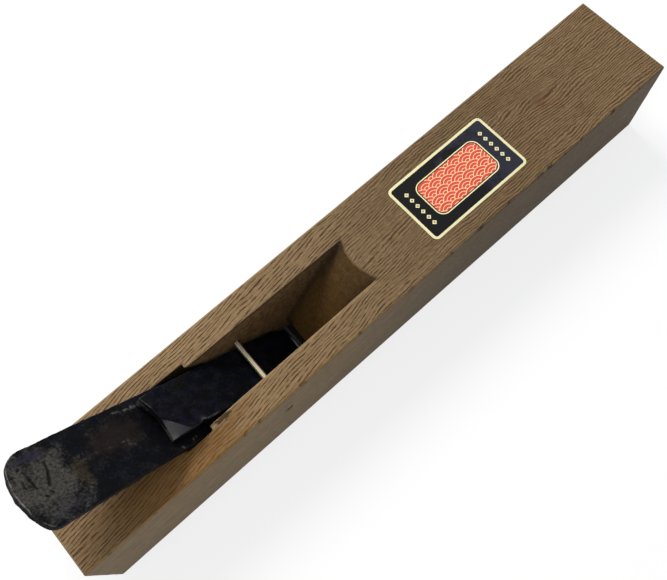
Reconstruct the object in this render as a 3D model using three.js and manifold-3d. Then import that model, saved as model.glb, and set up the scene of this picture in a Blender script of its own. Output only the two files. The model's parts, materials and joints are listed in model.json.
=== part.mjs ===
// A Japanese wooden hand plane: an oak block with a sloping bed, a laminated blade held by its
// edges in two side grooves, a chip breaker under a cross pin, and a paper label on top.
// Millimetres. The origin is the middle of the flat sole, +Z is up, and the blade's head leans
// towards -X. The blade and the chip breaker are drawn in the blade's own frame: x runs up the
// blade from the sole's plane, z stands out of its upper face, and that frame is then tilted.

import * as THREE from 'three';
import { mergeVertices } from 'three/addons/utils/BufferGeometryUtils.js';
import Module from 'manifold-3d';

const wasm = await Module();
wasm.setup();

// Block: one shaku long and about one and a half sun square
const bodyLength = 303;
const bodyWidth = 46;
const bodyHeight = 45.4;
const topChamfer = 0.7;
const soleChamfer = 0.4;

// Bed: it rises 8 for every 10 along, the usual pitch of a smoothing plane
const bedRiseShare = 8;
const bedRunShare = 10;
const pitch = Math.atan2(bedRiseShare, bedRunShare);
const edgeX = -35.6;

// Blade
const bladeLength = 137.2;
const bladeHeadWidth = 28.9;
const bladeEdgeWidth = 24.2;
const bladeHeadThickness = 4.4;
const bladeEdgeThickness = 4.0;
const bladeBackChamfer = 1.6;
const bladeBevelAngle = THREE.MathUtils.degToRad(27);
const bladeHeadRadius = 24.5;
const bladeNearCorner = 4.6;
const bladeFarCorner = 8.0;
const edgeAboveSole = 0.4;

// Hard steel face of the blade and its ground hollow
const steelFaceLength = 66;
const steelFaceThickness = 1.3;
const hollowLength = 46;
const hollowWidth = 17.5;
const hollowDepth = 0.45;
const hollowSetback = 3;
const weldGap = 0.3;

// Throat and mouth
const throatBackWidth = 23.0;
const throatFrontWidth = 21.6;
const throatTopX = -2.1;
const throatFootX = -33.4;
const throatFootHeight = 10;
const slopeBendX = -24.9;
const slopeBendHeight = 28.1;
const slopeTopBulge = 2.9;
const slopeFootBulge = 2.0;
const mouthFrontX = -33.8;

// Side grooves that hold the blade's edges
const bladeClearance = 0.3;
const grooveSideClearance = 0.35;
const grooveFlareStart = 45;
const farFlareHeight = 7.2;
const nearFlareHeight = 3.1;

// Cross pin: its hole is drilled by hand, a little out of square to the cheeks
const pinDiameter = 2.3;
const pinX = -59.35;
const pinHeight = 28.6;
const pinSkew = THREE.MathUtils.degToRad(1.6);
const pinHoleClearance = 0.25;
const pinSunk = 0.4;
const pinBlindDepth = 8;
const pinNearY = -bodyWidth / 2 + pinSunk;
const pinFarY = throatBackWidth / 2 + pinBlindDepth;

// Chip breaker
const breakerLength = 81.6;
const breakerWidth = 20.4;
const breakerSetback = 2.6;
const breakerHeadHeight = 6.6;
const breakerHeadThickness = 2.7;
const breakerHeadOffset = 0.9;
const breakerBevelAngle = THREE.MathUtils.degToRad(22);
const breakerEdgeLand = 0.25;
const breakerClearance = 0.3;

// Its two head corners, hammered down by unlike amounts
const nearEarAlong = 6.9;
const nearEarAcross = 8.8;
const nearEarHeight = 2.2;
const nearTipShort = 0.4;
const nearTipInside = 0.8;
const farEarAlong = 7.0;
const farEarAcross = 6.6;
const farEarHeight = 4.9;
const farTipShort = 0.1;
const farTipInside = 0.2;

// Steel strip welded under the chip breaker's edge
const breakerSteelLength = 36;
const breakerSteelThickness = 0.9;

// Paper label
const labelLength = 52;
const labelWidth = 29;
const labelThickness = 0.2;
const labelCorner = 2.4;
const labelX = 50.2;
const labelY = -0.8;

// How far every cutting solid runs past what it cuts
const overrun = 4;

// Fineness of round stretches
const arcSteps = 14;
const slopeSteps = 8;
const pinSides = 20;
const hollowSides = 36;

function solid(geometry) {
  const merged = mergeVertices(positionsOnly(geometry));
  const mesh = new wasm.Mesh({
    numProp: 3,
    vertProperties: new Float32Array(merged.attributes.position.array),
    triVerts: new Uint32Array(merged.index.array),
  });
  return new wasm.Manifold(mesh);
}

function positionsOnly(geometry) {
  const bare = geometry.clone();
  bare.deleteAttribute('normal');
  bare.deleteAttribute('uv');
  return bare;
}

function toGeometry(manifold) {
  const mesh = manifold.getMesh();
  const geometry = new THREE.BufferGeometry();
  geometry.setAttribute('position', new THREE.BufferAttribute(mesh.vertProperties, 3));
  geometry.setIndex(new THREE.BufferAttribute(mesh.triVerts, 1));
  geometry.computeVertexNormals();
  return geometry;
}

function geometryFrom(points, triangles) {
  const geometry = new THREE.BufferGeometry();
  geometry.setAttribute('position', new THREE.Float32BufferAttribute(points.flat(), 3));
  geometry.setIndex(triangles.flat());
  return geometry;
}

// A solid through a row of outlines that all have the same number of points. The outlines run
// anticlockwise seen from the far end of the row, and each is convex or nearly so.
function loft(outlines) {
  const count = outlines[0].length;
  const triangles = [];
  for (let row = 0; row < outlines.length - 1; row += 1) {
    for (let i = 0; i < count; i += 1) {
      const next = (i + 1) % count;
      const a = row * count + i;
      const b = row * count + next;
      triangles.push([a, b, b + count], [a, b + count, a + count]);
    }
  }
  const cap = capTriangles(outlines[0]);
  const last = (outlines.length - 1) * count;
  for (const [a, b, c] of cap) {
    triangles.push([c, b, a], [a + last, b + last, c + last]);
  }
  return geometryFrom(outlines.flat(), triangles);
}

// Triangles over one flat outline, found in the two directions in which it is widest
function capTriangles(outline) {
  const box = new THREE.Box3().setFromPoints(outline.map((p) => new THREE.Vector3(...p)));
  const size = box.getSize(new THREE.Vector3());
  const spans = [size.x, size.y, size.z];
  const thin = spans.indexOf(Math.min(...spans));
  const keep = [[1, 2], [2, 0], [0, 1]][thin];
  const flat = outline.map((p) => new THREE.Vector2(p[keep[0]], p[keep[1]]));
  return THREE.ShapeUtils.triangulateShape(flat, []);
}

// Extrudes an outline in x and z across the width, from one y to another
function prismAcross(outline, fromY, toY) {
  const shape = new THREE.Shape(outline.map(([x, z]) => new THREE.Vector2(x, z)));
  const depth = toY - fromY;
  const geometry = new THREE.ExtrudeGeometry(shape, { depth, bevelEnabled: false });
  geometry.rotateX(Math.PI / 2);
  geometry.translate(0, toY, 0);
  return geometry;
}

// The blade's frame, standing at the foot of the blade's upper face
const bladeFrame = new THREE.Object3D();
bladeFrame.position.set(edgeX, 0, 0);
bladeFrame.rotation.set(0, pitch, Math.PI);
bladeFrame.updateMatrixWorld();

function intoBody(geometry) {
  return geometry.clone().applyMatrix4(bladeFrame.matrixWorld);
}

const edgeAlong = edgeAboveSole / Math.sin(pitch);
const headAlong = edgeAlong + bladeLength;
const topAlong = bodyHeight / Math.sin(pitch);

// Blade sizes at a distance along it from the sole's plane
function shareUp(along) {
  return (along - edgeAlong) / bladeLength;
}

function bladeWidthAt(along) {
  return THREE.MathUtils.lerp(bladeEdgeWidth, bladeHeadWidth, shareUp(along));
}

function bladeThicknessAt(along) {
  return THREE.MathUtils.lerp(bladeEdgeThickness, bladeHeadThickness, shareUp(along));
}

// A bar that tapers as the blade does, with room round it, from the bed up to a height
function bladeBar(fromAlong, toAlong, sideRoom, topZ, backRoom) {
  const outlines = [fromAlong, toAlong].map((along) => {
    const half = bladeWidthAt(along) / 2 + sideRoom;
    const back = -bladeThicknessAt(along) - backRoom;
    return [
      [along, -half, topZ],
      [along, -half, back],
      [along, half, back],
      [along, half, topZ],
    ];
  });
  return loft(outlines);
}

// Plan of the blade, drawn in by an inset: straight edge, straight tapering sides, and an arched
// head with rounded corners
function bladePlan(inset) {
  const arcCentre = headAlong - bladeHeadRadius;
  const head = bladeHeadRadius - inset;
  const far = headCorner(bladeFarCorner, arcCentre);
  const near = headCorner(bladeNearCorner, arcCentre);
  const farRadius = bladeFarCorner - inset;
  const nearRadius = bladeNearCorner - inset;
  const shape = new THREE.Shape();
  shape.moveTo(edgeAlong, -bladeEdgeWidth / 2 + inset);
  shape.lineTo(far.along, -bladeHeadWidth / 2 + inset);
  shape.absarc(far.along, -far.aside, farRadius, -Math.PI / 2, -far.angle, false);
  shape.absarc(arcCentre, 0, head, -far.angle, near.angle, false);
  shape.absarc(near.along, near.aside, nearRadius, near.angle, Math.PI / 2, false);
  shape.lineTo(edgeAlong, bladeEdgeWidth / 2 - inset);
  return shape.getPoints(arcSteps).map((p) => [p.x, p.y]);
}

// Centre of a rounded head corner, and the direction in which it meets the head's arch
function headCorner(radius, arcCentre) {
  const aside = bladeHeadWidth / 2 - radius;
  const reach = bladeHeadRadius - radius;
  const along = arcCentre + Math.sqrt(reach ** 2 - aside ** 2);
  return { along, aside, angle: Math.asin(aside / reach) };
}

// The blade before grinding: flat face, upright sides, and a back whose rim is taken off
function bladeBlank() {
  const full = bladePlan(0);
  const drawnIn = bladePlan(bladeBackChamfer);
  const back = drawnIn.map(([x, y]) => [x, y, -bladeThicknessAt(x)]);
  const sides = full.map(([x, y]) => [x, y, bladeBackChamfer - bladeThicknessAt(x)]);
  const face = full.map(([x, y]) => [x, y, 0]);
  return loft([back, sides, face]);
}

// The wedge taken off the back to make the cutting bevel
function bevelCutter() {
  const drop = bladeHeadThickness + overrun;
  const run = drop / Math.tan(bladeBevelAngle);
  const half = bladeHeadWidth;
  const outline = [
    [edgeAlong - overrun, 0],
    [edgeAlong - overrun, -drop],
    [edgeAlong + run, -drop],
    [edgeAlong, 0],
  ];
  return prismAcross(outline, -half, half);
}

// A shallow lens, flat on top, that grinds the hollow into the upper face
function hollowCutter() {
  const profile = [new THREE.Vector2(0, -hollowDepth)];
  for (let i = 1; i <= slopeSteps; i += 1) {
    const share = i / slopeSteps;
    profile.push(new THREE.Vector2(share, -hollowDepth * (1 - share ** 2)));
  }
  profile.push(new THREE.Vector2(1, overrun));
  profile.push(new THREE.Vector2(0, overrun));
  const geometry = new THREE.LatheGeometry(profile, hollowSides);
  geometry.rotateX(Math.PI / 2);
  geometry.scale(hollowLength / 2, hollowWidth / 2, 1);
  geometry.translate(edgeAlong + hollowSetback + hollowLength / 2, 0, 0);
  return geometry;
}

// The layer of steel at the upper face, grown by the room asked for on its back and its end
function steelLayer(room) {
  const outline = [
    [edgeAlong - overrun, overrun],
    [edgeAlong - overrun, -steelFaceThickness - room],
    [edgeAlong + steelFaceLength + room, -steelFaceThickness - room],
    [edgeAlong + steelFaceLength + room, overrun],
  ];
  return prismAcross(outline, -bladeHeadWidth, bladeHeadWidth);
}

function wholeBlade() {
  return solid(bladeBlank())
    .subtract(solid(bevelCutter()))
    .subtract(solid(hollowCutter()));
}

// Where the pin stands, seen in the blade's frame
const pinCentre = new THREE.Vector3(pinX, 0, pinHeight).applyMatrix4(
  bladeFrame.matrixWorld.clone().invert(),
);

const breakerEdge = edgeAlong + breakerSetback;
const breakerHead = breakerEdge + breakerLength;
const breakerUnderPin = pinCentre.z - pinDiameter / 2 - breakerClearance;

// The chip breaker is a wedge: its top passes just under the pin and rises to the head
function breakerTop(along) {
  const share = (along - pinCentre.x) / (breakerHead - pinCentre.x);
  return THREE.MathUtils.lerp(breakerUnderPin, breakerHeadHeight, share);
}

function breakerUnderside(along) {
  const share = (along - breakerEdge) / breakerLength;
  return THREE.MathUtils.lerp(breakerClearance, breakerHeadHeight - breakerHeadThickness, share);
}

// Where the chip breaker's bevel, rising from the edge, meets its top
function breakerBevelEnd() {
  const rise = Math.tan(breakerBevelAngle);
  const start = breakerClearance + breakerEdgeLand;
  const topSlope = (breakerTop(breakerHead) - breakerTop(breakerEdge)) / breakerLength;
  return breakerEdge + (breakerTop(breakerEdge) - start) / (rise - topSlope);
}

// One long side of the chip breaker, from its edge to its head: four plan points on the flat
// plate, and last the corner that is hammered down. The head is cut a little askew.
function breakerSide(side, ear) {
  const half = breakerWidth / 2;
  const head = (y) => breakerHead - (breakerHeadOffset * y) / half;
  const foldY = side * (half - ear.across);
  return [
    [breakerEdge, side * half],
    [breakerBevelEnd(), side * half],
    [head(side * half) - ear.along, side * half],
    [head(foldY), foldY],
    [head(side * half) - ear.tipShort, side * (half - ear.tipInside)],
  ];
}

// A plate with its two head corners folded down until they meet the blade
function breakerPlate() {
  const far = {
    along: farEarAlong,
    across: farEarAcross,
    tipShort: farTipShort,
    tipInside: farTipInside,
  };
  const near = {
    along: nearEarAlong,
    across: nearEarAcross,
    tipShort: nearTipShort,
    tipInside: nearTipInside,
  };
  const plan = [...breakerSide(-1, far), ...breakerSide(1, near)];
  const top = plan.map(([x, y]) => [x, y, breakerTop(x)]);
  const under = plan.map(([x, y]) => [x, y, breakerUnderside(x)]);
  const [farEdge, farBevel, farSide, farFold, farTip] = [0, 1, 2, 3, 4];
  const [nearEdge, nearBevel, nearSide, nearFold, nearTip] = [5, 6, 7, 8, 9];
  for (const edge of [farEdge, nearEdge]) {
    top[edge][2] = under[edge][2] + breakerEdgeLand;
  }
  for (const tip of [farTip, nearTip]) {
    under[tip][2] = breakerClearance;
  }
  top[farTip][2] = farEarHeight;
  top[nearTip][2] = nearEarHeight;
  const facets = [
    [farEdge, nearEdge, nearBevel, farBevel],
    [farBevel, nearBevel, nearSide, nearFold, farFold, farSide],
    [farSide, farFold, farTip],
    [nearSide, nearTip, nearFold],
  ];
  const farRim = [farEdge, farBevel, farSide, farTip, farFold];
  const nearRim = [nearFold, nearTip, nearSide, nearBevel, nearEdge];
  return platedSolid(top, under, facets, [...farRim, ...nearRim]);
}

// A closed plate between two sheets of points that share their facets and their rim
function platedSolid(top, under, facets, rim) {
  const count = top.length;
  const triangles = [];
  for (const facet of facets) {
    for (let i = 1; i < facet.length - 1; i += 1) {
      const [a, b, c] = [facet[0], facet[i], facet[i + 1]];
      triangles.push([a, c, b], [a + count, b + count, c + count]);
    }
  }
  for (let i = 0; i < rim.length; i += 1) {
    const a = rim[i];
    const b = rim[(i + 1) % rim.length];
    triangles.push([a, a + count, b + count], [a, b + count, b]);
  }
  return geometryFrom([...top, ...under], triangles);
}

// The layer of steel under the chip breaker's edge, grown by the room asked for
function breakerSteelLayer(room) {
  const end = breakerEdge + breakerSteelLength + room;
  const rise = breakerSteelThickness + room;
  const outline = [
    [breakerEdge - overrun, -overrun],
    [end, -overrun],
    [end, breakerUnderside(end) + rise],
    [breakerEdge - overrun, breakerUnderside(breakerEdge - overrun) + rise],
  ];
  return prismAcross(outline, -breakerWidth, breakerWidth);
}

// The block with all its long and end edges chamfered
function blockBlank() {
  const along = chamferedOutline(bodyLength);
  const across = chamferedOutline(bodyWidth);
  const side = prismAcross(along, -bodyWidth, bodyWidth);
  const end = prismAcross(across, -bodyLength, bodyLength).rotateZ(Math.PI / 2);
  return solid(side).intersect(solid(end));
}

function chamferedOutline(width) {
  const half = width / 2;
  return [
    [-half + soleChamfer, 0],
    [half - soleChamfer, 0],
    [half, soleChamfer],
    [half, bodyHeight - topChamfer],
    [half - topChamfer, bodyHeight],
    [-half + topChamfer, bodyHeight],
    [-half, bodyHeight - topChamfer],
    [-half, soleChamfer],
  ];
}

// Bottom, bend and top of the throat's front slope, as one curve in x and z
function slopePoints() {
  const curve = new THREE.QuadraticBezierCurve(
    new THREE.Vector2(throatFootX, throatFootHeight),
    new THREE.Vector2(slopeBendX, slopeBendHeight),
    new THREE.Vector2(throatTopX, bodyHeight),
  );
  return curve.getPoints(slopeSteps);
}

// One level of the throat: a cross cut whose front side bows towards the blade
function throatLevel(backX, frontX, bulge, z) {
  const backHalf = throatBackWidth / 2;
  const frontHalf = throatFrontWidth / 2;
  const outline = [[backX, -backHalf, z]];
  for (let i = 0; i <= arcSteps; i += 1) {
    const side = (2 * i) / arcSteps - 1;
    outline.push([frontX - bulge * (1 - side ** 2), side * frontHalf, z]);
  }
  outline.push([backX, backHalf, z]);
  return outline;
}

// The space between the cheeks, from the middle of the blade's thickness to the front slope
function throatCutter() {
  const backAt = (z) => edgeX - z / Math.tan(pitch) - bladeEdgeThickness / 2 / Math.sin(pitch);
  const levels = [
    throatLevel(backAt(-overrun), mouthFrontX, 0, -overrun),
    throatLevel(backAt(0), mouthFrontX, 0, 0),
  ];
  const points = slopePoints();
  points.forEach((point, i) => {
    const bulge = THREE.MathUtils.lerp(slopeFootBulge, slopeTopBulge, i / slopeSteps);
    levels.push(throatLevel(backAt(point.y), point.x, bulge, point.y));
  });
  const lip = points[slopeSteps];
  const before = points[slopeSteps - 1];
  const run = ((lip.x - before.x) / (lip.y - before.y)) * overrun;
  const above = bodyHeight + overrun;
  levels.push(throatLevel(backAt(above), lip.x + run, slopeTopBulge, above));
  return loft(levels);
}

// The sloping slot that takes the blade: the bed below it, a groove in each cheek
function bladeSlot() {
  const from = -2 * overrun;
  const to = topAlong + 4 * overrun;
  return bladeBar(from, to, grooveSideClearance, bladeClearance, bladeClearance);
}

// A groove's upper end is opened out by hand, more in one cheek than in the other
function grooveFlare(height, fromY, toY) {
  const rise = height * Math.cos(pitch);
  const lip = (bodyHeight - rise) / Math.sin(pitch);
  const slope = (height - bladeClearance) / (lip - grooveFlareStart);
  const end = lip + 4 * overrun;
  const outline = [
    [grooveFlareStart, 0],
    [end, 0],
    [end, height + slope * (end - lip)],
    [grooveFlareStart, bladeClearance],
  ];
  const bar = bladeBar(0, end, grooveSideClearance, height + bodyHeight, 0);
  return solid(prismAcross(outline, fromY, toY)).intersect(solid(bar));
}

// A round bar through the near cheek, across the throat and into the far cheek
function pinBar(radius, fromY, toY) {
  const geometry = new THREE.CylinderGeometry(radius, radius, toY - fromY, pinSides);
  geometry.translate(0, (fromY + toY) / 2, 0);
  geometry.rotateZ(-pinSkew);
  geometry.translate(pinX, 0, pinHeight);
  return geometry;
}

function pinHole() {
  const radius = pinDiameter / 2 + pinHoleClearance;
  return pinBar(radius, -bodyWidth / 2 - overrun, pinFarY + pinHoleClearance);
}

function oakBody() {
  const reach = bladeHeadWidth;
  return blockBlank()
    .subtract(solid(throatCutter()))
    .subtract(solid(intoBody(bladeSlot())))
    .subtract(solid(intoBody(toGeometry(grooveFlare(farFlareHeight, -reach, 0)))))
    .subtract(solid(intoBody(toGeometry(grooveFlare(nearFlareHeight, 0, reach)))))
    .subtract(solid(pinHole()));
}

function labelGeometry() {
  const x = labelLength / 2;
  const y = labelWidth / 2;
  const r = labelCorner;
  const shape = new THREE.Shape();
  shape.moveTo(-x + r, -y);
  shape.absarc(x - r, -y + r, r, -Math.PI / 2, 0, false);
  shape.absarc(x - r, y - r, r, 0, Math.PI / 2, false);
  shape.absarc(-x + r, y - r, r, Math.PI / 2, Math.PI, false);
  shape.absarc(-x + r, -y + r, r, Math.PI, 1.5 * Math.PI, false);
  const options = { depth: labelThickness, bevelEnabled: false, curveSegments: arcSteps / 2 };
  return new THREE.ExtrudeGeometry(shape, options);
}

function piece(name, geometry, color, roughness, metalness) {
  const material = new THREE.MeshStandardMaterial({ color, roughness, metalness });
  const mesh = new THREE.Mesh(geometry, material);
  mesh.name = name;
  return mesh;
}

const group = new THREE.Group();

group.add(piece('oak_body', toGeometry(oakBody()), 0x8f7350, 0.7, 0));

const blade = wholeBlade();
const bladeGroup = new THREE.Group();
bladeGroup.position.copy(bladeFrame.position);
bladeGroup.rotation.copy(bladeFrame.rotation);

const ironBack = blade.subtract(solid(steelLayer(weldGap)));
const steelFace = blade.intersect(solid(steelLayer(0)));
bladeGroup.add(piece('blade_iron_back', toGeometry(ironBack), 0x2a2927, 0.6, 0.8));
bladeGroup.add(piece('blade_steel_face', toGeometry(steelFace), 0x34353a, 0.45, 0.9));

const plate = solid(breakerPlate());
const breakerIron = plate.subtract(solid(breakerSteelLayer(weldGap)));
const breakerSteel = plate.intersect(solid(breakerSteelLayer(0)));
bladeGroup.add(piece('chip_breaker_iron', toGeometry(breakerIron), 0x1d1d22, 0.5, 0.8));
bladeGroup.add(piece('chip_breaker_steel', toGeometry(breakerSteel), 0x3a3b40, 0.4, 0.9));
group.add(bladeGroup);

const pin = pinBar(pinDiameter / 2, pinNearY, pinFarY);
group.add(piece('cross_pin', pin, 0xb8b09a, 0.3, 1));

const label = piece('paper_label', labelGeometry(), 0x1b1a1c, 0.5, 0);
label.position.set(labelX, labelY, bodyHeight);
group.add(label);

export default group;
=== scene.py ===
import json
import math

import bmesh
import bpy
import numpy as np
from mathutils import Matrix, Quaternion, Vector


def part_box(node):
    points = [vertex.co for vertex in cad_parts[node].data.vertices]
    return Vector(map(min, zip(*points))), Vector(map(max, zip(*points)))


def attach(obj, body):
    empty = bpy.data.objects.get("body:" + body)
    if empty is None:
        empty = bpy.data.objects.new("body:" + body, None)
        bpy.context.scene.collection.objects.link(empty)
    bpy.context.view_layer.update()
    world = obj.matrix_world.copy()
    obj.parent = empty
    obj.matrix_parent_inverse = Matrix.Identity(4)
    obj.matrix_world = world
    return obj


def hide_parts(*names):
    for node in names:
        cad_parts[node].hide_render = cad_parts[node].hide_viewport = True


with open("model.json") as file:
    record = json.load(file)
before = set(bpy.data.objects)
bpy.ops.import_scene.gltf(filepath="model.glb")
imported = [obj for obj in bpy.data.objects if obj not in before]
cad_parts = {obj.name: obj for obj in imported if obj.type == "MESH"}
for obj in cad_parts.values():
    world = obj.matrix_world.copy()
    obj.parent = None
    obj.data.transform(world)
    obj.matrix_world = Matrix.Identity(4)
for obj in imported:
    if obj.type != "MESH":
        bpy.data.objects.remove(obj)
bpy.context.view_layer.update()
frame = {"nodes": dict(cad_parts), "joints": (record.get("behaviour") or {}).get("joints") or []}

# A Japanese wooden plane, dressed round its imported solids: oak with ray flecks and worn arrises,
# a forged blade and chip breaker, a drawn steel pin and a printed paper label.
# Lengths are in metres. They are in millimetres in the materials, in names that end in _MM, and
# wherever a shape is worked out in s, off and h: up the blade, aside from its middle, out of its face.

MM = 0.001

body_low, body_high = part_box("oak_body")
label_low, label_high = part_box("paper_label")
pin_low, pin_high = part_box("cross_pin")
top_z = body_high.z

# The blade lies along the first joint's axis and meets the sole's plane at this x
slide_axis = Vector(frame["joints"][0]["axis"])
COS = -slide_axis.x
SIN = slide_axis.z
FOOT_X = -35.6 * MM
UP_THE_BLADE = np.array([-COS, 0, SIN])
OUT_OF_FACE = np.array([SIN, 0, COS])


def to_blade(points):
    """Points of the frame as columns: up the blade, aside, and out of its face."""
    x = points[:, 0] - FOOT_X
    z = points[:, 2]
    return np.column_stack([z * SIN - x * COS, points[:, 1], x * SIN + z * COS])


def from_blade(points):
    s, off, h = points.T
    return np.column_stack([FOOT_X - s * COS + h * SIN, off, s * SIN + h * COS])


def in_scene(name, data):
    """A new object that holds the data."""
    obj = bpy.data.objects.new(name, data)
    bpy.context.scene.collection.objects.link(obj)
    return obj


# Camera and light

LENS_MM = 41.086
SENSOR_WIDTH_MM = 36
CAMERA_PLACE = (-78.2 * MM, -81.9 * MM, 320.8 * MM)
CAMERA_TURN = (0.919355, 0.16468, -0.046601, -0.354254)


def make_camera():
    data = bpy.data.cameras.new("camera")
    data.lens = LENS_MM
    data.sensor_width = SENSOR_WIDTH_MM
    data.clip_start = 0.01
    data.clip_end = 20
    camera = in_scene("camera", data)
    camera.location = CAMERA_PLACE
    camera.rotation_mode = "QUATERNION"
    camera.rotation_quaternion = Quaternion(CAMERA_TURN)
    bpy.context.scene.camera = camera


def make_lamp(name, place, aim, size, power, colour):
    data = bpy.data.lights.new(name, "AREA")
    data.shape = "DISK"
    data.size = size
    data.energy = power
    data.color = colour
    lamp = in_scene(name, data)
    lamp.location = place
    lamp.rotation_mode = "QUATERNION"
    lamp.rotation_quaternion = (Vector(aim) - Vector(place)).to_track_quat("-Z", "Y")


make_camera()
make_lamp("key lamp", (0.08, 0.75, 0.95), aim=(0, 0, 0.03), size=0.55, power=13, colour=(1, 0.98, 0.95))
make_lamp("fill lamp", (-0.5, -0.1, 1.1), aim=(-0.05, 0, 0.03), size=0.5, power=3, colour=(0.97, 0.98, 1))


# Shader building

def maths(operation, other_first=False):
    """A method that adds a Math node to a wire, with another term where one is given."""
    def method(wire, *other):
        terms = (*other, wire) if other_first else (wire, *other)
        return wire.finish.node("Math", {"operation": operation}, dict(enumerate(terms)))
    return method


class Wire:
    """One output of a shader node. Arithmetic on wires adds Math nodes."""

    def __init__(self, finish, socket):
        self.finish = finish
        self.socket = socket

    __add__, __radd__ = maths("ADD"), maths("ADD", other_first=True)
    __sub__, __rsub__ = maths("SUBTRACT"), maths("SUBTRACT", other_first=True)
    __mul__, __rmul__ = maths("MULTIPLY"), maths("MULTIPLY", other_first=True)
    __truediv__, __rtruediv__ = maths("DIVIDE"), maths("DIVIDE", other_first=True)
    __abs__, floor, part = maths("ABSOLUTE"), maths("FLOOR"), maths("FRACT")
    least, most = maths("MINIMUM"), maths("MAXIMUM")
    below, above = maths("LESS_THAN"), maths("GREATER_THAN")
    sine, root, exponent = maths("SINE"), maths("SQRT"), maths("EXPONENT")

    def __neg__(self):
        return self * -1

    def fall(self):
        """1 at zero, and less the further from it."""
        return (-(self * self)).exponent()


def paint(red, green, blue):
    """A colour as it is seen, 0 to 255, in the shader's own terms."""
    def linear(value):
        share = value / 255
        return share / 12.92 if share <= 0.04045 else ((share + 0.055) / 1.055) ** 2.4
    return (linear(red), linear(green), linear(blue), 1)


class Finish:
    """A material while its nodes are laid, or a world where the worlds are given."""

    def __init__(self, name, kept_in=None):
        self.owner = (bpy.data.materials if kept_in is None else kept_in).new(name)
        self.owner.use_nodes = True
        self.nodes = self.owner.node_tree.nodes
        self.links = self.owner.node_tree.links
        self.nodes.clear()

    def node(self, kind, settings=None, values=None, output=0):
        """Adds a node and gives one of its outputs. Its values are wires or plain."""
        made = self.nodes.new("ShaderNode" + kind)
        for key, value in (settings or {}).items():
            setattr(made, key, value)
        for key, value in (values or {}).items():
            if isinstance(value, Wire):
                self.links.new(value.socket, made.inputs[key])
            else:
                made.inputs[key].default_value = value
        return Wire(self, made.outputs[output]) if made.outputs else None

    def attribute(self, name):
        """A number that the mesh keeps at its points."""
        return self.node("Attribute", {"attribute_name": name}, output="Fac")

    def apart(self, vector):
        return [self.node("SeparateXYZ", values={0: vector}, output=axis) for axis in range(3)]

    def place(self):
        """The point in the frame, in millimetres, as three wires."""
        point = self.node("TexCoord", output="Object")
        return self.apart(self.node("VectorMath", {"operation": "SCALE"}, {0: point, "Scale": 1 / MM}))

    def blade_place(self):
        """The point in the blade's frame, in millimetres, as three wires."""
        x, y, z = self.place()
        x = x - FOOT_X / MM
        return z * SIN - x * COS, y, x * SIN + z * COS

    def facing(self):
        """The surface's own direction as three wires."""
        return self.apart(self.node("NewGeometry", output="Normal"))

    def clouds(self, x, y, z, detail=2.0, roughness=0.5):
        """Noise from 0 to 1. Each place is a share of a lump's width along it."""
        point = self.node("CombineXYZ", values={0: x, 1: y, 2: z})
        values = {"Vector": point, "Scale": 1.0, "Detail": detail, "Roughness": roughness}
        return self.node("TexNoise", values=values)

    def rise(self, value, low, high):
        """0 at low, 1 at high and smooth between. Low may be the greater."""
        values = {"Value": value, "From Min": low, "From Max": high}
        return self.node("MapRange", {"interpolation_type": "SMOOTHSTEP"}, values)

    def within(self, x, y, middle, reach, uneven):
        """1 inside an uneven oval patch, fading to 0 outside."""
        off_x = (x - middle[0]) / reach[0]
        off_y = (y - middle[1]) / reach[1]
        return self.rise(1 - off_x * off_x - off_y * off_y + uneven, -0.4, 0.9)

    def mix(self, share, first, second):
        """The first colour, turning into the second as share goes from 0 to 1.

        Each is a wire, a paint's three numbers, or four in the shader's own terms.
        """
        # Inputs 6 and 7 and output 2 are the node's sockets for colours
        values = {0: share, 6: first, 7: second}
        for key, colour in values.items():
            if isinstance(colour, tuple) and len(colour) == 3:
                values[key] = paint(*colour)
        return self.node("Mix", {"data_type": "RGBA"}, values, output=2)

    def mottled(self, share, colour, fine, dark, light):
        """The colour, turning into a mixture of a dark and a light paint."""
        return self.mix(share, colour, self.mix(fine, dark, light))

    def tone(self, colour, level):
        """A colour made lighter or darker by a number or wire round 1."""
        return self.node("VectorMath", {"operation": "SCALE"}, {0: colour, "Scale": level})

    def bump(self, height_mm, strength):
        return self.node("Bump", values={"Height": height_mm, "Distance": MM, "Strength": strength})

    def surface(self, colour, roughness, bump, specular=0.5, metallic=0.0):
        """Ends the material with one Principled shader and gives the material."""
        values = {"Base Color": colour, "Roughness": roughness, "Normal": bump}
        values.update({"Specular IOR Level": specular, "Metallic": metallic})
        shader = self.node("BsdfPrincipled", values=values)
        self.node("OutputMaterial", values={"Surface": shader})
        return self.owner


# Wood

# Where the grain leaves the body's length: a steady slant that dies out past the throat
SLANT = 0.13
SLANT_FROM_MM = -20
SLANT_TO_MM = 60
# A small knot in the top: its place, how far it bends the grain, and how wide its own colour is
KNOT_MM = (100.8, 1.5)
KNOT_BEND_MM = (11, 5)
KNOT_SIZE_MM = (5, 3)
# The tree's rings, and how far its pith lies under the sole
RING_PITCH_MM = 3.1
PITH_DEPTH_MM = 70
# Pitch of the ray flecks in each of their three forms
DASH_PITCH_MM = 1.3
RIPPLE_PITCH_MM = 1.15
FINE_PITCH_MM = 0.75
# Beside the near groove's upper end: torn fibres, and a chip that shows lighter wood
TORN_MM = (-81.7, -12.6)
CHIP_MM = (-86.2, -12.8)


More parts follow.
